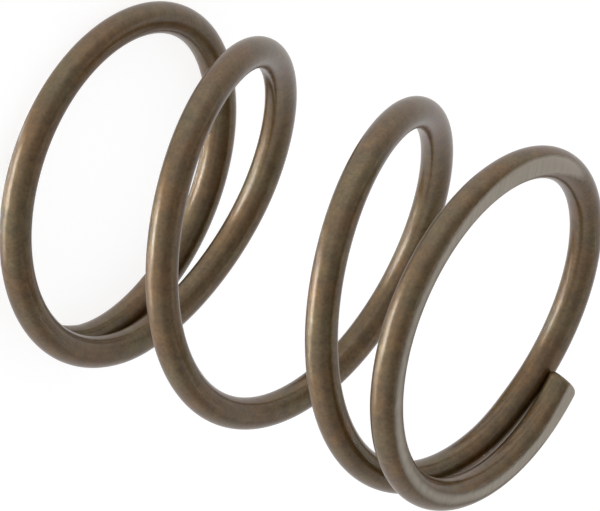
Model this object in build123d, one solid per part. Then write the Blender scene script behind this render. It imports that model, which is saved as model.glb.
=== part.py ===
"""A small compression spring: one round wire, coiled right-handed, with closed and ground ends.

The spring stands on its lower ground face, centred on the origin, and its axis is +Z.
A place along the wire is counted in turns from the lower tip, and sizes are in millimetres.
"""
from build123d import *
from math import ceil, cos, radians, sin, sqrt, tan, tau
import os

# Driving dimensions
wire_diameter = 1.04
outside_diameter = 12.2
free_length = 16.0
total_turns = 4.17
ramp_turns = 0.7  # arc over which a closed end turn climbs away to the working pitch
end_pitch = 0.08  # rise of a closed end turn over one turn, which thins the grinding away
ground_depth = 0.07  # taken off each wire tip by the grinding wheel
closing_gap = 0.015  # left between a wire tip and the turn that it closes on
tip_round = 0.18  # radius left on the rim of each sheared tip
lean_angle = 4.8  # degrees by which the working turns lean from square to the axis
lean_heading = 278.0  # degrees round from the lower tip to the high side of the lean
drift = 0.3  # distance by which the upper end turn stands off to the side of the lower one
drift_heading = 142.0  # degrees round from the lower tip to the side that it stands off to
spans_per_turn = 10  # pairs of tangent arcs that follow one turn

# Derived sizes
wire_radius = wire_diameter / 2
coil_radius = outside_diameter / 2 - wire_radius
turn_step = wire_diameter + closing_gap
first_height = wire_radius - ground_depth
wire_rise = free_length - 2 * first_height
lean_rise = coil_radius * tan(radians(lean_angle))
tip_length = tip_round + wire_radius / 10


def smooth(share):
    """0 before a ramp and 1 after it, with no slope at either end."""
    inside = min(max(share, 0.0), 1.0)
    return inside**2 * (3 - 2 * inside)


def climbed(share):
    """Ramp lengths' worth of full pitch that the wire has climbed, this share of the way along."""
    inside = min(max(share, 0.0), 1.0)
    return inside**3 - inside**4 / 2 + max(share - 1, 0.0)


def lean(turn):
    """Height that the lean adds to a working turn at this place along the wire."""
    return lean_rise * cos(tau * turn - radians(lean_heading))


def reach(rising, target, low, high):
    """The place between low and high at which a rising function comes up to its target."""
    for _ in range(50):
        middle = (low + high) / 2
        low, high = (middle, high) if rising(middle) < target else (low, middle)
    return (low + high) / 2


def closed_turns(pitch, tip_lean):
    """Arc of an end turn before its ramp, if the wire is to clear its own tip after one full turn."""

    def gained(share):
        return end_pitch + pitch * ramp_turns * climbed(share) + tip_lean * smooth(share)

    return 1 - ramp_turns * reach(gained, turn_step, 0, 3)


def closed_ends(pitch):
    """The closed arcs of the lower and the upper end turn, for the pitch added after them."""
    return closed_turns(pitch, lean(0)), closed_turns(pitch, -lean(total_turns))


def climb(pitch):
    """Rise of the centre line from tip to tip, if this pitch is added in the working turns."""
    ramped = total_turns - ramp_turns - sum(closed_ends(pitch))
    return end_pitch * total_turns + pitch * ramped


added_pitch = reach(climb, wire_rise, wire_diameter, free_length)
lower_end, upper_end = closed_ends(added_pitch)


def height(turn):
    """Height of the centre line: closed end turn, ramp, working pitch, ramp and closed end turn."""
    past_lower = (turn - lower_end) / ramp_turns
    past_upper = (total_turns - turn - upper_end) / ramp_turns
    rise = end_pitch * turn + added_pitch * ramp_turns * climbed(past_lower)
    if turn > total_turns / 2:
        rise = wire_rise - end_pitch * (total_turns - turn)
        rise -= added_pitch * ramp_turns * climbed(past_upper)
    return first_height + rise + lean(turn) * smooth(past_lower) * smooth(past_upper)


def sideways(height_here):
    """How far the coil stands off to one side at this height; half way up it is on the axis."""
    share = (height_here - first_height) / wire_rise - 0.5
    return Vector(drift * share, 0).rotate(Axis.Z, drift_heading)


def point(turn):
    """A point on the centre line."""
    round_axis = Vector(coil_radius * cos(tau * turn), coil_radius * sin(tau * turn), height(turn))
    return round_axis + sideways(height(turn))


def heading(turn):
    """The direction in which the wire runs at a point on the centre line."""
    nudge = 1e-4
    return (point(turn + nudge) - point(turn - nudge)).normalized()


def arc_pair(start, end):
    """Two tangent arcs that join two points of the centre line and keep its heading at both."""
    first, last, leaving, arriving = point(start), point(end), heading(start), heading(end)
    chord, bend = last - first, 2 * (1 - leaving.dot(arriving))
    along = chord.dot(leaving + arriving)
    arm = (sqrt(along**2 + bend * chord.dot(chord)) - along) / bend
    middle = (first + last + (leaving - arriving) * arm) / 2
    passing = chord - (leaving + arriving) * arm
    return [TangentArc(first, middle, tangent=leaving), TangentArc(middle, last, tangent=passing)]


def centre_line():
    """The wire's centre line, bent as a chain of tangent arcs."""
    spans = ceil(total_turns * spans_per_turn)
    turns = [total_turns * step / spans for step in range(spans + 1)]
    return Wire([arc for start, end in zip(turns, turns[1:]) for arc in arc_pair(start, end)])


def sheared_tip(end, outward):
    """The last stub of wire at one end of the centre line, with its rim rounded over."""
    stub = extrude(Plane(origin=end, z_dir=outward) * Circle(wire_radius), tip_length)
    rim = stub.faces().sort_by_distance(end + outward * 2 * tip_length)[0].edges()
    return fillet(rim, tip_round)


def coiled_wire():
    """The wire as it leaves the coiling machine, cut off at both tips."""
    path = centre_line()
    wire = sweep(Plane(origin=path @ 0, z_dir=path % 0) * Circle(wire_radius), path=path)
    return wire + sheared_tip(path @ 0, -(path % 0)) + sheared_tip(path @ 1, path % 1)


def grind_ends(wire):
    """The two end turns ground flat, square to the axis and a free length apart."""
    between_wheels = Box(2 * outside_diameter, 2 * outside_diameter, free_length)
    return wire & Pos(0, 0, free_length / 2) * between_wheels


spring = grind_ends(coiled_wire())
os.makedirs("parts", exist_ok=True)
export_step(spring, "parts/spring.step")
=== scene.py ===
"""The looks of a small compression spring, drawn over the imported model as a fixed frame.

The coil stands on its lower ground face with its axis along +Z. A place along the wire is counted in
turns from the lower tip. Lengths are in metres, and angles in degrees unless a name says otherwise.
"""

import logging
from collections.abc import Callable
from dataclasses import dataclass
from enum import Enum

import bpy
import numpy as np
from mathutils import Matrix, Vector


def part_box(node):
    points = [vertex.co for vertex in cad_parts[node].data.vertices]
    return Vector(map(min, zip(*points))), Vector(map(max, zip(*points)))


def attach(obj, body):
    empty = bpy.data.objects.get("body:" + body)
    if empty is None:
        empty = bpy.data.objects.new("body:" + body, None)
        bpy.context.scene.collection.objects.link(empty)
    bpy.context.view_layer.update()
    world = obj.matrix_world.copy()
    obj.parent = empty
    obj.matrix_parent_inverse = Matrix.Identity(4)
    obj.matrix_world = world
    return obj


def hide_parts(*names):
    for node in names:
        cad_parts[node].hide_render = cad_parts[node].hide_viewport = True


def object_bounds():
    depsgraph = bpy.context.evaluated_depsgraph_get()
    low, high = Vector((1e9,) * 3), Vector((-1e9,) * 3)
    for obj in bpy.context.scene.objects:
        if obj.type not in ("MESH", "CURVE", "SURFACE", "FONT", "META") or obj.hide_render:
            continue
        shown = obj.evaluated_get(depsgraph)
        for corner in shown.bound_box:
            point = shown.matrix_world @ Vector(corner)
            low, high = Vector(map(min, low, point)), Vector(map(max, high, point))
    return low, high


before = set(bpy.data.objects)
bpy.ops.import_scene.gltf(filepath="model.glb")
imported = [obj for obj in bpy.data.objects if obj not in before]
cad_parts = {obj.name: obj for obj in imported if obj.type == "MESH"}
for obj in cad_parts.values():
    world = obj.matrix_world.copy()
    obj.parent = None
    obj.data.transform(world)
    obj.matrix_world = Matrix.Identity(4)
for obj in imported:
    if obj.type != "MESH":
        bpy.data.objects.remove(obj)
CAD_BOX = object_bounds()
MM = 0.001
# Steps of a search by halving.
HALVINGS = 50
# Distance within which a point counts as lying on a ground face.
TOUCHING = 1e-9
# Distance by which noise moves the edge of a bared face, from the lowest noise to the highest.
RAGGED_EDGE = 0.03 * MM
NOISE_MIDDLE = 0.5
# Places of a colour mix's sockets: the share, the two colours, and the result.
MIX_INPUTS = (0, 6, 7)
MIX_RESULT = 2
Colour = tuple[float, float, float, float]
LOG = logging.getLogger("compression_spring")


class Slot(Enum):
    """Order of the finishes on the coil's surface."""

    DRAWN = 0
    # Ground faces and the painted sheen past them.
    GROUND_AND_SHEEN = 1


def smooth(share: np.ndarray) -> np.ndarray:
    """Smoothstep: share squared times three less twice the share, held at 0 and 1 outside."""
    inside = np.clip(share, 0.0, 1.0)
    return inside**2 * (3 - 2 * inside)


def climbed(share: np.ndarray) -> np.ndarray:
    """Integral of the smoothstep: share cubed less half its fourth power, then a straight line."""
    inside = np.clip(share, 0.0, 1.0)
    return inside**3 - inside**4 / 2 + np.maximum(share - 1, 0.0)


def reach(rising: Callable[[float], float], target: float, low: float, high: float) -> float:
    """Finds by halving where a rising function meets a target.

    Args:
        rising: The function of one number.
        target: The value to meet.
        low: A place below the answer.
        high: A place above the answer.

    Returns:
        The place between low and high.
    """
    for _ in range(HALVINGS):
        middle = (low + high) / 2
        low, high = (middle, high) if rising(middle) < target else (low, middle)
    return (low + high) / 2


@dataclass(frozen=True)
class Swell:
    """A rise from 0 to 1 and back along the wire, measured from one of its tips.

    Attributes:
        start: Turns past the tip at which it leaves 0.
        top: Turns at which it reaches 1.
        leave: Turns at which it leaves 1.
        end: Turns at which it is back at 0.
    """

    start: float
    top: float
    leave: float
    end: float

    def at(self, past: np.ndarray) -> np.ndarray:
        """Multiplies the smoothstep of the way up by one less the smoothstep of the way down."""
        up = smooth((past - self.start) / (self.top - self.start))
        return up * (1 - smooth((past - self.leave) / (self.end - self.leave)))


@dataclass(frozen=True)
class WireRoute:
    """Centre line of the wire: closed end turns, ramps, and working turns that lean a little.

    Attributes:
        free_length: Height of the unloaded spring.
        wire_radius: Half the wire's thickness.
        coil_radius: Distance from the coil's axis to the centre line.
        total_turns: Turns of wire from tip to tip.
        ramp_turns: Arc over which an end turn climbs away to the working pitch.
        end_pitch: Rise of a closed end turn over one turn, which thins the grinding away.
        ground_depth: Depth of wire that grinding took off each tip.
        closing_gap: Gap between a wire tip and the turn that it closes on.
        lean_angle: Lean of the working turns from square to the axis.
        lean_heading: Direction of the high side of that lean, round from the lower tip.
        drift: Distance by which the upper end turn stands off to the side of the lower one.
        drift_heading: Direction in which it stands off, round from the lower tip.
        snug: How much nearer to its end turn the next turn comes, just past the tip.
        snug_run: Where along the wire it does.
        uneven: How far towards its seat an end turn stands where it stands out most.
        out_run: Where along the wire it stands out.
        back_share: Share of that height by which the end turn stands back from its seat elsewhere.
        back_run: Where along the wire it stands back.
        painted_sheen: Depth by which a painted sheen of pale steel colour reaches past the ground faces.
        painted_sheen_run: Where along the wire the ground faces run out in that painted sheen.
        tip_sheen_turns: Turns from the upper tip over which the painted sheen by that tip fades.
        tuck: Turns by which the lower end of the wire tucks in farther under the turn above it.
        tuck_fall: Fall of that last piece over one turn, which keeps it clear of the turn above.
    """

    free_length: float
    wire_radius: float = 0.52 * MM
    coil_radius: float = 5.58 * MM
    total_turns: float = 4.17
    ramp_turns: float = 0.7
    end_pitch: float = 0.08 * MM
    ground_depth: float = 0.07 * MM
    closing_gap: float = 0.015 * MM
    lean_angle: float = 4.8
    lean_heading: float = 278.0
    drift: float = 0.3 * MM
    drift_heading: float = 142.0
    snug: float = 0.07 * MM
    snug_run: Swell = Swell(1.02, 1.08, 1.12, 1.25)
    uneven: float = 0.05 * MM
    out_run: Swell = Swell(0.42, 0.66, 0.66, 1.0)
    back_share: float = 0.3
    back_run: Swell = Swell(0.05, 0.2, 0.2, 0.36)
    # Painted sheen: a pale steel colour painted past the ground faces and by the upper tip.
    painted_sheen: float = 0.085 * MM
    painted_sheen_run: Swell = Swell(0.5, 0.74, 0.74, 0.88)
    tip_sheen_turns: float = 0.06
    tuck: float = 0.024
    tuck_fall: float = 4.8 * MM

    def lean(self, turn: np.ndarray) -> np.ndarray:
        """Height added by the lean: a cosine of the angle round from its high side."""
        rise = self.coil_radius * np.tan(np.radians(self.lean_angle))
        return rise * np.cos(2 * np.pi * turn - np.radians(self.lean_heading))

    def closed_ends(self, pitch: float) -> tuple[float, float]:
        """Sizes the arcs of the end turns before their ramps, so that each turn closes on its own tip.

        Args:
            pitch: Pitch that the working turns add to that of the end turns.

        Returns:
            The closed arcs of the lower and the upper end turn, in turns.
        """
        step = 2 * self.wire_radius + self.closing_gap
        leans = (self.lean(0.0), -self.lean(self.total_turns))
        most_ramps = 3.0

        def closed(tip_lean: float) -> float:
            """Takes from one turn the part of the ramp that lifts the wire clear of its tip.

            Args:
                tip_lean: Height that the lean adds over the tip.

            Returns:
                The closed arc of that end turn, in turns.
            """

            def gained(share: float) -> float:
                """Height over the tip, this share along the ramp: end pitch, ramp and lean."""
                ramp = pitch * self.ramp_turns * climbed(share)
                return self.end_pitch + ramp + tip_lean * smooth(share)

            return 1 - self.ramp_turns * reach(gained, step, 0.0, most_ramps)

        return closed(leans[0]), closed(leans[1])

    def added_pitch(self) -> float:
        """Works out the pitch that the working turns add, so that the wire makes its whole rise.

        The rise is the end pitch times all turns, plus the added pitch times the turns left when one
        ramp and both closed arcs are taken away.

        Returns:
            The rise that a working turn adds.
        """

        def climb(pitch: float) -> float:
            """Rise of the centre line from tip to tip, at this added pitch."""
            ramped = self.total_turns - self.ramp_turns - sum(self.closed_ends(pitch))
            return self.end_pitch * self.total_turns + pitch * ramped

        return reach(climb, self.wire_rise(), 2 * self.wire_radius, self.free_length)

    def first_height(self) -> float:
        """Height of the centre line over the lower seat: the wire's radius less what was ground off."""
        return self.wire_radius - self.ground_depth

    def wire_rise(self) -> float:
        """Rise of the centre line from the lower tip to the upper one."""
        return self.free_length - 2 * self.first_height()

    def nestled(self, turn: np.ndarray) -> np.ndarray:
        """Height by which the next turn comes nearer: down by the lower end turn, up by the upper."""
        return self.snug * (self.snug_run.at(self.total_turns - turn) - self.snug_run.at(turn))

    def settled(self, turn: np.ndarray) -> np.ndarray:
        """Height by which the end turns stand nearer to their seats, or farther from them.

        Each stands a little back from its seat a fifth of a turn from the tip and out towards it two
        thirds of a turn from the tip, so that the ground face is narrower there and wider here.

        Args:
            turn: Places along the wire, in turns.

        Returns:
            One height for each place.
        """

        def share(past: np.ndarray) -> np.ndarray:
            """The swell towards the seat, less its share of the one away from it."""
            return self.out_run.at(past) - self.back_share * self.back_run.at(past)

        return self.uneven * (share(self.total_turns - turn) - share(turn))

    def painted_sheen_depths(self, turn: np.ndarray) -> np.ndarray:
        """Depth of the painted sheen past the ground faces, by the upper tip and where the faces run out.

        Args:
            turn: Places along the wire, in turns.

        Returns:
            One depth for each place.
        """
        left = self.total_turns - turn
        by_tip = 1 - smooth(left / self.tip_sheen_turns)
        # Painted sheen: this depth paints the skin pale steel past the ground faces.
        return self.painted_sheen * (self.painted_sheen_run.at(left) + self.painted_sheen_run.at(turn) + by_tip)

    def heights(self, turn: np.ndarray) -> np.ndarray:
        """Heights of the centre line.

        From each seat it is the closed end, the ramp and the even pitch, and the two halves meet in the
        middle. The lean, the unevenness of the ends and the fall of the tucked end are added.

        Args:
            turn: Places along the wire, in turns.

        Returns:
            One height for each place.
        """
        pitch, left = self.added_pitch(), self.total_turns - turn
        lower_end, upper_end = self.closed_ends(pitch)
        past_lower = (turn - lower_end) / self.ramp_turns
        past_upper = (left - upper_end) / self.ramp_turns
        from_below = self.end_pitch * turn + pitch * self.ramp_turns * climbed(past_lower)
        lowered = self.end_pitch * left + pitch * self.ramp_turns * climbed(past_upper)
        from_above = self.wire_rise() - lowered
        rise = np.where(turn > self.total_turns / 2, from_above, from_below)
        leaning = self.lean(turn) * smooth(past_lower) * smooth(past_upper)
        uneven = self.nestled(turn) + self.settled(turn)
        tucked = self.tuck_fall * np.minimum(turn, 0.0)
        return self.first_height() + rise + leaning + uneven + tucked

    def points(self, turn: np.ndarray) -> np.ndarray:
        """Works out points of the centre line.

        A point is the cosine and sine of its angle times the radius, plus the drift times its share of
        the wire's rise less a half, and its height.

        Args:
            turn: Places along the wire, in turns.

        Returns:
            One point for each place.
        """
        angle, aside = 2 * np.pi * turn, np.radians(self.drift_heading)
        height = self.heights(turn)
        share = (height - self.first_height()) / self.wire_rise() - 0.5
        across = self.coil_radius * np.cos(angle) + self.drift * np.cos(aside) * share
        along = self.coil_radius * np.sin(angle) + self.drift * np.sin(aside) * share
        return np.stack([across, along, height], axis=-1)

    def headings(self, turn: np.ndarray) -> np.ndarray:
        """Works out the wire's directions: the difference of two near points over its own length.

        Args:
            turn: Places along the wire, in turns.

        Returns:
            One unit direction for each place, towards the upper end.
        """
        nudge = 1e-4
        along = self.points(turn + nudge) - self.points(turn - nudge)
        return along / np.linalg.norm(along, axis=-1, keepdims=True)


class Graph:
    """A material's node tree, with short calls for the nodes that the finishes share."""

    def __init__(self, name: str) -> None:
        """Starts a material that holds only a Principled shader.

        Args:
            name: Name of the material.
        """
        self.built = bpy.data.materials.new(name)
        self.built.use_nodes = True
        self.tree = self.built.node_tree
        self.tree.nodes.clear()
        self.shader = self.add("ShaderNodeBsdfPrincipled")
        self.output = self.add("ShaderNodeOutputMaterial")

    def add(self, kind: str, **settings: str) -> bpy.types.Node:
        """Adds one node.

        Args:
            kind: Blender's name for the node.
            **settings: Values for the node's own properties.

        Returns:
            The new node.
        """
        node = self.tree.nodes.new(kind)
        for key, value in settings.items():
            setattr(node, key, value)
        return node

    def feed(self, target: bpy.types.NodeSocket, value: bpy.types.NodeSocket | float | Colour) -> None:
        """Joins a socket to an input, or writes a plain value on it.

        Args:
            target: The input.
            value: The socket to join to it, or the value to write.
        """
        if isinstance(value, bpy.types.NodeSocket):
            self.tree.links.new(value, target)
        else:
            target.default_value = value

    def noise(self, place: bpy.types.NodeSocket, scale: tuple, detail: float) -> bpy.types.NodeSocket:
        """Adds a noise whose grain is stretched by a scale for each axis.

        Args:
            place: Socket that gives the position in metres.
            scale: Grains in a metre, along each axis.
            detail: Number of finer layers.

        Returns:
            The socket of the noise, from 0 to 1.
        """
        mapping = self.add("ShaderNodeMapping")
        self.feed(mapping.inputs["Scale"], scale)
        self.feed(mapping.inputs["Vector"], place)
        texture = self.add("ShaderNodeTexNoise")
        self.feed(texture.inputs["Scale"], 1.0)
        self.feed(texture.inputs["Detail"], detail)
        self.feed(texture.inputs["Vector"], mapping.outputs[0])
        return texture.outputs[0]

    def maths(
        self,
        operation: str,
        first: bpy.types.NodeSocket | float,
        second: bpy.types.NodeSocket | float,
    ) -> bpy.types.NodeSocket:
        """Adds one step of arithmetic.

        Args:
            operation: Blender's name for the operation.
            first: The first number, or the socket that gives it.
            second: The second number, or the socket that gives it.

        Returns:
            The socket of the result.
        """
        node = self.add("ShaderNodeMath", operation=operation)
        self.feed(node.inputs[0], first)
        self.feed(node.inputs[1], second)
        return node.outputs[0]

    def ranged(
        self,
        value: bpy.types.NodeSocket,
        source: tuple[float, float],
        target: tuple[float, float] = (0.0, 1.0),
    ) -> bpy.types.NodeSocket:
        """Adds a straight line from one range to another, held at its ends.

        Args:
            value: Socket of the number.
            source: The range that the number runs over.
            target: The range that the result runs over.

        Returns:
            The socket of the result.
        """
        node = self.add("ShaderNodeMapRange")
        self.feed(node.inputs["Value"], value)
        self.feed(node.inputs["From Min"], source[0])
        self.feed(node.inputs["From Max"], source[1])
        self.feed(node.inputs["To Min"], target[0])
        self.feed(node.inputs["To Max"], target[1])
        return node.outputs[0]

    def ramp(
        self, value: bpy.types.NodeSocket, stops: list[tuple[float, Colour]]
    ) -> bpy.types.NodeSocket:
        """Adds a colour ramp.

        Args:
            value: Socket that picks the place on the ramp.
            stops: Pairs of place and colour, the lowest first.

        Returns:
            The socket of the colour.
        """
        node = self.add("ShaderNodeValToRGB")
        points = node.color_ramp.elements
        for point, (place, colour) in zip(points, (stops[0], stops[-1])):
            point.position, point.color = place, colour
        for place, colour in stops[1:-1]:
            points.new(place).color = colour
        self.feed(node.inputs[0], value)
        return node.outputs[0]

    def greys(self, value: bpy.types.NodeSocket, stops: tuple) -> bpy.types.NodeSocket:
        """Adds a ramp of greys, from pairs of place and brightness."""
        return self.ramp(value, [(place, (level, level, level, 1)) for place, level in stops])

    def mixed(
        self,
        share: bpy.types.NodeSocket | float,
        first: bpy.types.NodeSocket | Colour,
        second: bpy.types.NodeSocket | Colour,
        blend: str = "MIX",
    ) -> bpy.types.NodeSocket:
        """Adds a mix of two colours.

        Args:
            share: Share of the second colour, or the socket that gives it.
            first: The first colour, or the socket that gives it.
            second: The second colour, or the socket that gives it.
            blend: Blender's name for the way of mixing.

        Returns:
            The socket of the mixed colour.
        """
        node = self.add("ShaderNodeMix", data_type="RGBA", blend_type=blend)
        for place, value in zip(MIX_INPUTS, (share, first, second)):
            self.feed(node.inputs[place], value)
        return node.outputs[MIX_RESULT]

    def bump(self, height: bpy.types.NodeSocket, strength: float, depth: float) -> bpy.types.NodeSocket:
        """Adds a relief.

        Args:
            height: Socket that gives the height, where 1 stands for the depth.
            strength: Share of the relief that shows.
            depth: Depth of the relief.

        Returns:
            The socket of the direction that the relief faces.
        """
        node = self.add("ShaderNodeBump")
        self.feed(node.inputs["Strength"], strength)
        self.feed(node.inputs["Distance"], depth)
        self.feed(node.inputs["Height"], height)
        return node.outputs[0]

    def bared_and_sheen(self, grain: bpy.types.NodeSocket, depths: tuple[float, float]) -> bpy.types.NodeSocket:
        """Adds the share of steel colour from the depth ground off, the painted sheen and a ragged edge.

        Args:
            grain: Socket of the noise that makes the edge ragged.
            depths: Depths of grinding and sheen at which the share is 0 and 1, below 0 outside both.

        Returns:
            The socket of the share.
        """
        # The attribute holds what the grinding took off plus the depth of the painted sheen.
        taken = self.add("ShaderNodeAttribute", attribute_name="ground_and_sheen_depth").outputs["Fac"]
        ragged = self.maths("MULTIPLY", self.maths("SUBTRACT", grain, NOISE_MIDDLE), RAGGED_EDGE)
        return self.ranged(self.maths("ADD", taken, ragged), depths)

    def done(self) -> bpy.types.Material:
        """Joins the shader to the output and returns the material."""
        self.feed(self.output.inputs["Surface"], self.shader.outputs[0])
        return self.built


@dataclass(frozen=True)
class DrawnFinish:
    """Oil-tempered drawn wire: a thin mottled brown skin, a satin sheen and fine marks of the die.

    Attributes:
        name: Name of the material.
        copper: Skin at the low end of the clouds.
        brown: Skin in the middle of them.
        olive: Skin at their high end.
        cloud_places: Places of the three colours on the cloud noise.
        worn_and_sheen_edge: Colour at the border of the ground faces and of the painted sheen.
        wear_and_sheen_depths: Depths of grinding and painted sheen over which that colour comes in.
        die_marks: Grains of the die's marks in a metre, along the wire and across it.
        grain: Fine grains in a metre.
        clouds: Clouds of the skin's colour in a metre.
        patches: Light and dark patches in a metre.
        grain_greys: Places on the grain noise and the brightness there.
        patch_greys: Places on the patch noise and the brightness there.
        metallic: How far the skin shines as a metal.
        roughness: Roughness of the skin.
        mark_places: Places on the marks' noise over which the roughness changes.
        smoother: How far below the roughness it goes.
        rougher: How far above the roughness it goes.
        relief: Share of the relief that shows.
        relief_depth: Depth of the marks and the grain.
        edge_tint: Tint of the metal where it is seen edge on.
        oil_weight: Share of the surface that the film of oil covers.
        oil_roughness: Roughness of the film.
        oil_index: Index of refraction of the film.
    """

    name: str = "drawn_wire"
    copper: Colour = (0.150, 0.079, 0.023, 1.0)
    brown: Colour = (0.135, 0.079, 0.026, 1.0)
    olive: Colour = (0.135, 0.092, 0.034, 1.0)
    cloud_places: tuple = (0.36, 0.5, 0.66)
    worn_and_sheen_edge: Colour = (0.25, 0.2, 0.14, 1.0)
    wear_and_sheen_depths: tuple = (-0.008 * MM, 0.004 * MM)
    die_marks: tuple = (900, 14000, 14000)
    grain: tuple = (9000, 9000, 9000)
    clouds: tuple = (620, 620, 620)
    patches: tuple = (2400, 2400, 2400)
    grain_greys: tuple = ((0.3, 0.78), (0.7, 1.12))
    patch_greys: tuple = ((0.32, 0.82), (0.68, 1.18))
    metallic: float = 1.0
    roughness: float = 0.48
    mark_places: tuple = (0.3, 0.7)
    smoother: float = 0.07
    rougher: float = 0.09
    relief: float = 0.35
    relief_depth: float = 0.004 * MM
    edge_tint: Colour = (0.34, 0.29, 0.23, 1.0)
    oil_weight: float = 0.75
    oil_roughness: float = 0.23
    oil_index: float = 1.7

    def material(self) -> bpy.types.Material:
        """Builds the finish.

        Returns:
            The material of the drawn surface.
        """
        graph = Graph(self.name)
        route = graph.add("ShaderNodeAttribute", attribute_name="straight_wire").outputs["Vector"]
        body = graph.add("ShaderNodeTexCoord").outputs["Object"]
        marks = graph.noise(route, self.die_marks, detail=4)
        grain = graph.noise(body, self.grain, detail=3)
        clouds = graph.noise(body, self.clouds, detail=3)
        patches = graph.noise(body, self.patches, detail=3)
        tones = list(zip(self.cloud_places, (self.copper, self.brown, self.olive)))
        skin = graph.ramp(clouds, tones)
        skin = graph.mixed(1.0, skin, graph.greys(grain, self.grain_greys), blend="MULTIPLY")
        skin = graph.mixed(1.0, skin, graph.greys(patches, self.patch_greys), blend="MULTIPLY")
        # The border colour comes in at the ground faces and at the painted sheen past them.
        colour = graph.mixed(graph.bared_and_sheen(grain, self.wear_and_sheen_depths), skin, self.worn_and_sheen_edge)
        spread = (self.roughness - self.smoother, self.roughness + self.rougher)
        relief = graph.bump(graph.maths("ADD", marks, grain), self.relief, self.relief_depth)
        sockets = graph.shader.inputs
        graph.feed(sockets["Base Color"], colour)
        graph.feed(sockets["Roughness"], graph.ranged(marks, self.mark_places, spread))
        graph.feed(sockets["Normal"], relief)
        graph.feed(sockets["Metallic"], self.metallic)
        graph.feed(sockets["Specular Tint"], self.edge_tint)
        graph.feed(sockets["Coat Weight"], self.oil_weight)
        graph.feed(sockets["Coat Roughness"], self.oil_roughness)
        graph.feed(sockets["Coat IOR"], self.oil_index)
        graph.feed(sockets["Coat Normal"], relief)
        return graph.done()


@dataclass(frozen=True)
class GroundAndSheenFinish:
    """Bare steel where the grinding wheel cut: matt grey with fine scratches and a stain at the edge.

    Its steel colour also paints a sheen past the ground faces.

    Attributes:
        name: Name of the material.
        dull: Steel at the low end of the scratches.
        bright: Steel at their high end.
        scratch_places: Places of the two colours on the scratch noise.
        stain_and_sheen_edge: Colour at the edge of the ground faces and of the painted sheen.
        stain_and_sheen_depths: Depths of grinding and painted sheen over which it gives way to steel.
        scratches: Scratches in a metre, along each axis.
        patches: Patches of the ragged edge in a metre.
        relief: Share of the scratches' relief that shows.
        relief_depth: Depth of the scratches.
        metallic: How far the face shines as a metal.
        roughness: Roughness of the face.
    """

    name: str = "ground_steel_and_painted_sheen"
    dull: Colour = (0.33, 0.285, 0.23, 1.0)
    bright: Colour = (0.44, 0.385, 0.315, 1.0)
    scratch_places: tuple = (0.3, 0.72)
    stain_and_sheen_edge: Colour = (0.15, 0.123, 0.09, 1.0)
    stain_and_sheen_depths: tuple = (0.0, 0.045 * MM)
    scratches: tuple = (1200, 26000, 1200)
    patches: tuple = (3200, 3200, 3200)
    relief: float = 0.4
    relief_depth: float = 0.004 * MM
    metallic: float = 0.7
    roughness: float = 0.5

    def material(self) -> bpy.types.Material:
        """Builds the finish.

        Returns:
            The material of the ground faces.
        """
        graph = Graph(self.name)
        body = graph.add("ShaderNodeTexCoord").outputs["Object"]
        scratches = graph.noise(body, self.scratches, detail=3)
        patches = graph.noise(body, self.patches, detail=4)
        steel = graph.ramp(scratches, list(zip(self.scratch_places, (self.dull, self.bright))))
        # Painted sheen: this steel colour also covers the sheen past the ground faces.
        colour = graph.mixed(graph.bared_and_sheen(patches, self.stain_and_sheen_depths), self.stain_and_sheen_edge, steel)
        sockets = graph.shader.inputs
        graph.feed(sockets["Base Color"], colour)
        graph.feed(sockets["Normal"], graph.bump(scratches, self.relief, self.relief_depth))
        graph.feed(sockets["Metallic"], self.metallic)
        graph.feed(sockets["Roughness"], self.roughness)
        return graph.done()


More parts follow.
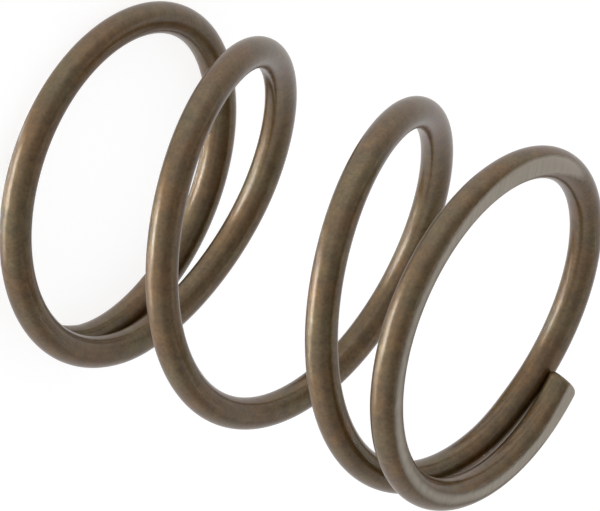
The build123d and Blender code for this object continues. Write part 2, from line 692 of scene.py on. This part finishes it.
@dataclass
class SpringCoil:
    """The coiled wire with its two ground ends, as one closed surface.

    Attributes:
        route: Centre line that the wire follows.
        drawn: Finish of the wire's skin.
        ground: Finish of the ground faces and of the painted sheen past them.
        tip_round: Radius left on the rim of each sheared tip.
        stub: How far the full wire goes on past the centre line's end, before that rim starts.
        rim_steps: Sections round the rim.
        flat_steps: Rings from the rim to the middle of the sheared face.
        rings: Sections along the wire between its two tips.
        face_columns: Steps across each zone of the section that grinding can reach.
        side_columns: Steps round each side of the section between those zones.
        least_zone: Least half angle of such a zone, in degrees.
        blend: Distance over which a ground face's corner is eased.
        slant: Degrees by which the sheared end of a tip is off square.
        slant_way: Degrees up from outwards to the side of the tip that the slant leaves short.
        outer_sheen_share: Share by which the painted sheen is deeper on the outer side of the wire.
        crease: Degrees between two faces from which their edge is shown sharp.
    """

    route: WireRoute
    drawn: DrawnFinish = DrawnFinish()
    ground: GroundAndSheenFinish = GroundAndSheenFinish()
    tip_round: float = 0.18 * MM
    stub: float = 0.052 * MM
    rim_steps: int = 8
    flat_steps: int = 6
    rings: int = 1290
    face_columns: int = 12
    side_columns: int = 24
    least_zone: float = 6.0
    blend: float = 0.03 * MM
    slant: float = 15.0
    slant_way: float = 60.0
    outer_sheen_share: float = 0.7
    crease: float = 20.0

    def tip_profile(self) -> np.ndarray:
        """Distances past the centre line's end and radii of the sections that close a tip.

        The rim is a quarter circle: the distance grows with the sine of its angle, and the radius shrinks
        by the rim's radius times one less the cosine. The flat end then shrinks evenly to its middle.

        Returns:
            Rows of distance and radius, from the wire outwards.
        """
        wire, rim = self.route.wire_radius, self.tip_round
        bend = np.radians(np.linspace(0, 90, self.rim_steps + 1))
        rounded = np.stack([self.stub + rim * np.sin(bend), wire - rim * (1 - np.cos(bend))], axis=1)
        shares = np.linspace(1, 0, self.flat_steps + 1)[1:-1]
        flat = np.stack([np.full(len(shares), self.stub + rim), (wire - rim) * shares], axis=1)
        return np.concatenate([rounded, flat])

    def sections(self) -> tuple[np.ndarray, np.ndarray, np.ndarray]:
        """Lists every section from the lower tip to the upper one.

        Returns:
            The turn, the distance past the centre line's end and the radius of each section.
        """
        tip = self.tip_profile()
        turns = self.route.total_turns
        first = -self.route.tuck
        along = np.linspace(first, turns, self.rings)
        turn = np.concatenate([np.full(len(tip), first), along, np.full(len(tip), turns)])
        past = np.concatenate([-tip[::-1, 0], np.zeros(self.rings), tip[:, 0]])
        wire = np.full(self.rings, self.route.wire_radius)
        radius = np.concatenate([tip[::-1, 1], wire, tip[:, 1]])
        return turn, past, radius

    def angles(self, low: np.ndarray, high: np.ndarray) -> np.ndarray:
        """Angles of the points round each section, which put the corners of the ground faces on columns.

        A ground zone reaches the angle whose cosine is the cut's height over the radius, to either side,
        and no less than the least zone. The columns divide both zones and both sides evenly.

        Args:
            low: Sine of the angle at which the lower seat cuts each section, below 0.
            high: Sine of the angle at which the upper seat cuts it, above 0.

        Returns:
            One row of angles in radians for each section.
        """
        least = np.radians(self.least_zone)
        below = np.maximum(np.arccos(np.clip(-low, 0, 1)), least)
        above = np.maximum(np.arccos(np.clip(high, 0, 1)), least)
        bottom, top, turn = -np.pi / 2, np.pi / 2, 2 * np.pi
        knots = np.stack(
            [bottom - below, bottom + below, top - above, top + above, bottom - below + turn], axis=1
        )
        steps = (self.face_columns, self.side_columns, self.face_columns, self.side_columns)
        parts = [
            knots[:, [n]] + (knots[:, [n + 1]] - knots[:, [n]]) * np.arange(count) / count
            for n, count in enumerate(steps)
        ]
        return np.concatenate(parts, axis=1)

    def eased(self, rise: np.ndarray, most: np.ndarray) -> np.ndarray:
        """Holds a rise to a most, with the corner eased.

        The lesser of the two, less the square of what the blend has over their difference, over four
        times the blend.

        Args:
            rise: Rises of the round wire.
            most: Height of the seat for each of them.

        Returns:
            The rises of the ground wire.
        """
        near = np.maximum(self.blend - np.abs(rise - most), 0.0)
        return np.minimum(rise, most) - near**2 / (4 * self.blend)

    def sheared(
        self, turn: np.ndarray, past: np.ndarray, out: np.ndarray, rise: np.ndarray
    ) -> np.ndarray:
        """Slides points along the wire near the tips, so that the cut ends stand off square.

        The slide is the tangent of the slant times the distance from the middle towards the short side,
        and it fades out by a smoothstep over two wire radii back from the tip.

        Args:
            turn: Turn of each section.
            past: Distance of each section past the centre line's end.
            out: Distances of the points outwards from their section's middle.
            rise: Distances of the points upwards from it.

        Returns:
            How far each point slides towards the upper end of the wire.
        """
        length = 2 * np.pi * self.route.coil_radius
        way, steep = np.radians(self.slant_way), np.tan(np.radians(self.slant))
        fade = 2 * self.route.wire_radius
        lower = (turn + self.route.tuck) * length - past
        upper = (self.route.total_turns - turn) * length + past
        slide = np.zeros_like(out)
        for side, back in ((-1, lower), (1, upper)):
            weight = smooth(1 - np.maximum(back, 0) / fade)[:, None]
            short = out * np.cos(way) + side * rise * np.sin(way)
            slide -= side * steep * weight * short
        return slide

    def surface(self) -> tuple[np.ndarray, np.ndarray, np.ndarray]:
        """Works out the points of every section.

        A point is the section's middle, plus the radius times the cosine of its angle outwards from the
        axis, plus the radius times the sine upwards across the wire. That last part is held between the
        two seats, which leaves the flat ground faces. Points near a tip slide level along the wire, which
        slants its sheared face. What the wheel took off at a point is how far the round wire would stand
        out past the nearer seat, and is below 0 where it would not reach it.

        Returns:
            The points by section and column, the same points with the wire laid out straight, and what
            the wheel took off at each.
        """
        turn, past, radius = self.sections()
        heading = self.route.headings(turn)
        middle = self.route.points(turn) + past[:, None] * heading
        angle = 2 * np.pi * turn
        outward = np.stack([np.cos(angle), np.sin(angle), np.zeros_like(angle)], axis=1)
        upward = np.cross(outward, heading)
        upward /= np.linalg.norm(upward, axis=1, keepdims=True)
        low = -middle[:, 2] / upward[:, 2]
        high = (self.route.free_length - middle[:, 2]) / upward[:, 2]
        theta = self.angles(low / radius, high / radius)
        out, whole = radius[:, None] * np.cos(theta), radius[:, None] * np.sin(theta)
        taken = np.maximum(whole - high[:, None], low[:, None] - whole)
        rise = -self.eased(-self.eased(whole, high[:, None]), -low[:, None])
        points = middle[:, None] + out[..., None] * outward[:, None] + rise[..., None] * upward[:, None]
        level = heading * np.array([1, 1, 0])
        level /= np.linalg.norm(level, axis=1, keepdims=True)
        points += self.sheared(turn, past, out, rise)[..., None] * level[:, None]
        length = 2 * np.pi * self.route.coil_radius * turn + past
        straight = np.stack([np.broadcast_to(length[:, None], out.shape), out, rise], axis=-1)
        return points, straight, taken

    def faces(self, rows: int, columns: int) -> tuple[np.ndarray, np.ndarray]:
        """Joins neighbouring sections by four-sided faces and closes both tips on a middle point.

        Args:
            rows: Number of sections.
            columns: Points round a section.

        Returns:
            The four-sided faces and the triangles, as rows of point numbers that turn outwards.
        """
        ring = np.arange(columns)
        beside = (ring + 1) % columns
        row = np.arange(rows - 1)[:, None] * columns
        onward = row + columns
        quads = np.stack([row + ring, onward + ring, onward + beside, row + beside], axis=-1)
        end = (rows - 1) * columns
        first, last = rows * columns, rows * columns + 1
        lower = np.stack([np.full(columns, first), ring, beside], axis=1)
        upper = np.stack([np.full(columns, last), end + beside, end + ring], axis=1)
        return quads.reshape(-1, 4), np.concatenate([lower, upper])

    def bared_and_sheen(self, straight: np.ndarray, taken: np.ndarray) -> np.ndarray:
        """Depth of skin that is gone at each point, with the painted sheen counted in.

        It is what the wheel took off, plus the depth of the painted sheen, which grows and shrinks with
        the distance outwards over the wire's radius.

        Args:
            straight: The points with the wire laid out straight, by section and column.
            taken: What the wheel took off at each.

        Returns:
            One depth for each point, below 0 where the skin's own colour shows.
        """
        turn = self.sections()[0]
        # Painted sheen: deeper on the outer side of the wire.
        outer = 1 + self.outer_sheen_share * straight[..., 1] / self.route.wire_radius
        return taken + self.route.painted_sheen_depths(turn)[:, None] * outer

    @staticmethod
    def closed(values: np.ndarray, ends: np.ndarray) -> np.ndarray:
        """Lists the values by point and adds, for each end's middle point, the mean over its section.

        Args:
            values: Values by section and column.
            ends: Values whose mean over the first and the last section the two middle points take.

        Returns:
            The values in the order of the mesh's points.
        """
        rest = values.shape[2:]
        return np.concatenate([values.reshape(-1, *rest), ends[[0, -1]].mean(axis=1)])

    def build(self) -> bpy.types.Object:
        """Makes the coil's mesh, dresses it and puts it in the place of the plain solid.

        Returns:
            The finished object.
        """
        points, straight, taken = self.surface()
        places = self.closed(points, points)
        laid_out = self.closed(straight, straight)
        depth = self.closed(self.bared_and_sheen(straight, taken), taken)
        quads, triangles = self.faces(*points.shape[:2])
        mesh = bpy.data.meshes.new("coiled_wire")
        mesh.from_pydata(places.tolist(), [], quads.tolist() + triangles.tolist())
        mesh.polygons.foreach_set("use_smooth", np.ones(len(mesh.polygons), bool))
        # Faces that the grinding reached and faces under the painted sheen take the steel finish.
        ground_and_sheen_points = depth > -TOUCHING
        ground_and_sheen_faces = np.concatenate([ground_and_sheen_points[quads].all(axis=1), ground_and_sheen_points[triangles].all(axis=1)])
        slots = np.where(ground_and_sheen_faces, Slot.GROUND_AND_SHEEN.value, Slot.DRAWN.value)
        mesh.polygons.foreach_set("material_index", slots.astype(np.int32))
        # Per point: depth taken off by grinding plus depth of the painted sheen.
        ground_and_sheen = mesh.attributes.new("ground_and_sheen_depth", "FLOAT", "POINT")
        ground_and_sheen.data.foreach_set("value", depth.astype(np.float32))
        route = mesh.attributes.new("straight_wire", "FLOAT_VECTOR", "POINT")
        route.data.foreach_set("vector", laid_out.astype(np.float32).ravel())
        mesh.set_sharp_from_angle(angle=np.radians(self.crease))
        mesh.update()
        coil = bpy.data.objects.new("coiled_wire", mesh)
        bpy.context.scene.collection.objects.link(coil)
        mesh.materials.append(self.drawn.material())
        mesh.materials.append(self.ground.material())
        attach(coil, "root")
        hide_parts("spring")
        LOG.info("coiled_wire: %d points, %d faces", len(places), len(mesh.polygons))
        return coil


@dataclass(frozen=True)
class Lamp:
    """A soft box: a rectangular lamp that faces the spring.

    Attributes:
        name: Name of the lamp.
        across: Angle from the line of sight towards the right of the view.
        above: Angle from the line of sight towards the top of the view.
        width: Width of the soft box.
        height: Height of the soft box.
        radiance: Brightness of its face, where 1 is white.
        tint: Colour of its light, a little cool as daylight is.
        distance: Distance from the middle of the spring.
    """

    name: str
    across: float
    above: float
    width: float
    height: float
    radiance: float
    tint: tuple[float, float, float] = (0.9, 0.95, 1.0)
    distance: float = 0.25

    def build(self, centre: Vector, sight: Matrix) -> bpy.types.Object:
        """Hangs the lamp. Its power is the radiance times pi times the area of its face.

        Args:
            centre: Middle of the spring.
            sight: Directions of the view's right, top and near side, as columns.

        Returns:
            The lamp's object.
        """
        across, above = np.radians(self.across), np.radians(self.above)
        local = Vector((np.sin(across) * np.cos(above), np.sin(above), np.cos(across) * np.cos(above)))
        toward = (sight @ local).normalized()
        light = bpy.data.lights.new(self.name, "AREA")
        light.shape = "RECTANGLE"
        light.size, light.size_y = self.width, self.height
        light.energy = self.radiance * np.pi * self.width * self.height
        light.color = self.tint
        light.cycles.use_multiple_importance_sampling = False
        lamp = bpy.data.objects.new(self.name, light)
        bpy.context.scene.collection.objects.link(lamp)
        side = sight.col[1].cross(toward).normalized()
        turned = Matrix((side, toward.cross(side), toward)).transposed()
        lamp.matrix_world = Matrix.Translation(centre + toward * self.distance) @ turned.to_4x4()
        return lamp


@dataclass(frozen=True)
class Sight:
    """The camera's place: round from behind the -Y side, above the horizon, rolled and far away.

    Attributes:
        azimuth: Degrees round from looking along +Y.
        elevation: Degrees above the horizon.
        roll: Degrees that the camera is turned about its line of sight.
        distance: Distance from the middle of the spring.
        lens: Focal length, in millimetres.
        aim: Offset of the point it looks at from the middle of the spring.
        depths: Nearest and farthest distance that it sees.
    """

    azimuth: float = -20.0
    elevation: float = 30.64
    roll: float = 112.694
    distance: float = 0.3003
    lens: float = 563.0
    aim: tuple[float, float, float] = (0.0638 * MM, -0.0341 * MM, -0.01725 * MM)
    depths: tuple[float, float] = (0.001, 10.0)

    def axes(self) -> Matrix:
        """Works out the view's directions.

        Returns:
            The directions of its right, top and near side, as columns.
        """
        about, high = np.radians(self.azimuth), np.radians(self.elevation)
        near = Vector((np.sin(about) * np.cos(high), -np.cos(about) * np.cos(high), np.sin(high)))
        right = Vector((0, 0, 1)).cross(near).normalized()
        level = Matrix((right, near.cross(right), near)).transposed()
        return level @ Matrix.Rotation(np.radians(self.roll), 3, "Z")

    def build(self, centre: Vector) -> bpy.types.Object:
        """Makes the camera and gives it to the scene.

        Args:
            centre: Middle of the spring.

        Returns:
            The camera.
        """
        axes = self.axes()
        data = bpy.data.cameras.new("camera")
        data.lens = self.lens
        data.clip_start, data.clip_end = self.depths
        camera = bpy.data.objects.new("camera", data)
        target = centre + Vector(self.aim)
        camera.matrix_world = Matrix.Translation(target + axes.col[2] * self.distance) @ axes.to_4x4()
        bpy.context.scene.collection.objects.link(camera)
        bpy.context.scene.camera = camera
        return camera


@dataclass(frozen=True)
class Studio:
    """A white table, a white surround that dims overhead, and soft boxes.

    Attributes:
        table_size: Length of the table's sides.
        table_gap: Gap between the table and the lower seat.
        table_colour: Colour of the table under the lamps.
        table_roughness: Roughness of the table.
        shadow: Share of the table's look that its lighting makes. The rest is plain white.
        glow: Brightness of that plain white.
        surround: Brightness of the surround overhead. It is 1 at the table's level.
        wall_heights: Heights of a direction, from 0 level to 1 overhead, between which it dims.
        lamps: The soft boxes.
    """

    table_size: float = 2.0
    table_gap: float = 0.01 * MM
    table_colour: Colour = (0.85, 0.85, 0.85, 1.0)
    table_roughness: float = 0.9
    shadow: float = 0.35
    glow: float = 1.3
    surround: float = 0.405
    wall_heights: tuple[float, float] = (0.02, 0.8)
    lamps: tuple[Lamp, ...] = (
        Lamp("key_box", across=-80, above=3, width=0.09, height=0.13, radiance=8.0),
        Lamp("low_box", across=-98, above=-19, width=0.07, height=0.07, radiance=3.6),
        Lamp("edge_box", across=-118, above=8, width=0.14, height=0.14, radiance=2.2),
        Lamp("right_box", across=85, above=-15, width=0.3, height=0.3, radiance=0.35),
        Lamp("top_box", across=-30, above=70, width=0.3, height=0.3, radiance=0.15),
    )

    @staticmethod
    def seen(graph: Graph) -> bpy.types.NodeSocket:
        """Adds a switch that is 1 for what is seen directly, in a reflection or through glass.

        Args:
            graph: The node tree that it is added to.

        Returns:
            The socket of the switch.
        """
        path = graph.add("ShaderNodeLightPath").outputs
        shown = graph.maths("MAXIMUM", path["Is Camera Ray"], path["Is Glossy Ray"])
        return graph.maths("MAXIMUM", shown, path["Is Transmission Ray"])

    def table(self) -> bpy.types.Object:
        """Makes the table, level with the spring's lower seat.

        Returns:
            The table's object.
        """
        half = self.table_size / 2
        corners = [(-half, -half, 0), (half, -half, 0), (half, half, 0), (-half, half, 0)]
        mesh = bpy.data.meshes.new("table")
        mesh.from_pydata(corners, [], [(0, 1, 2, 3)])
        table = bpy.data.objects.new("table", mesh)
        table.location.z = CAD_BOX[0][2] - self.table_gap
        bpy.context.scene.collection.objects.link(table)
        graph = Graph("white_table")
        graph.feed(graph.shader.inputs["Base Color"], self.table_colour)
        graph.feed(graph.shader.inputs["Roughness"], self.table_roughness)
        white = graph.add("ShaderNodeEmission")
        graph.feed(white.inputs["Strength"], self.glow)
        mix = graph.add("ShaderNodeMixShader")
        graph.feed(mix.inputs[0], graph.maths("MULTIPLY", self.seen(graph), 1 - self.shadow))
        graph.feed(mix.inputs[1], graph.shader.outputs[0])
        graph.feed(mix.inputs[2], white.outputs[0])
        graph.feed(graph.output.inputs["Surface"], mix.outputs[0])
        mesh.materials.append(graph.built)
        table.visible_shadow = False
        return table

    def surroundings(self) -> None:
        """Gives the world a white light that dims overhead, by the height of the direction looked in."""
        world = bpy.data.worlds.new("surround")
        bpy.context.scene.world = world
        world.use_nodes = True
        tree = world.node_tree
        light = tree.nodes["Background"]
        toward = tree.nodes.new("ShaderNodeTexCoord")
        split = tree.nodes.new("ShaderNodeSeparateXYZ")
        dimmed = tree.nodes.new("ShaderNodeMapRange")
        dimmed.interpolation_type = "SMOOTHSTEP"
        dimmed.inputs["From Min"].default_value = self.wall_heights[0]
        dimmed.inputs["From Max"].default_value = self.wall_heights[1]
        dimmed.inputs["To Min"].default_value = 1.0
        dimmed.inputs["To Max"].default_value = self.surround
        light.inputs["Color"].default_value = (1, 1, 1, 1)
        tree.links.new(toward.outputs["Generated"], split.inputs[0])
        tree.links.new(split.outputs["Z"], dimmed.inputs["Value"])
        tree.links.new(dimmed.outputs[0], light.inputs["Strength"])

    def build(self, centre: Vector, sight: Matrix) -> None:
        """Sets up the table, the surround and the soft boxes.

        Args:
            centre: Middle of the spring.
            sight: Directions of the view's right, top and near side, as columns.
        """
        self.table()
        self.surroundings()
        for lamp in self.lamps:
            lamp.build(centre, sight)
            LOG.info("%s: radiance %.2f", lamp.name, lamp.radiance)


def main() -> None:
    """Builds the coil, the camera and the studio, in that order."""
    logging.basicConfig(level=logging.INFO, format="%(name)s: %(message)s")
    lowest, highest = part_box("spring")
    SpringCoil(WireRoute(free_length=highest.z - lowest.z)).build()
    centre = (lowest + highest) / 2
    sight = Sight()
    sight.build(centre)
    Studio().build(centre, sight.axes())
    bpy.context.scene.view_settings.view_transform = "Standard"


if __name__ == "__main__":
    main()
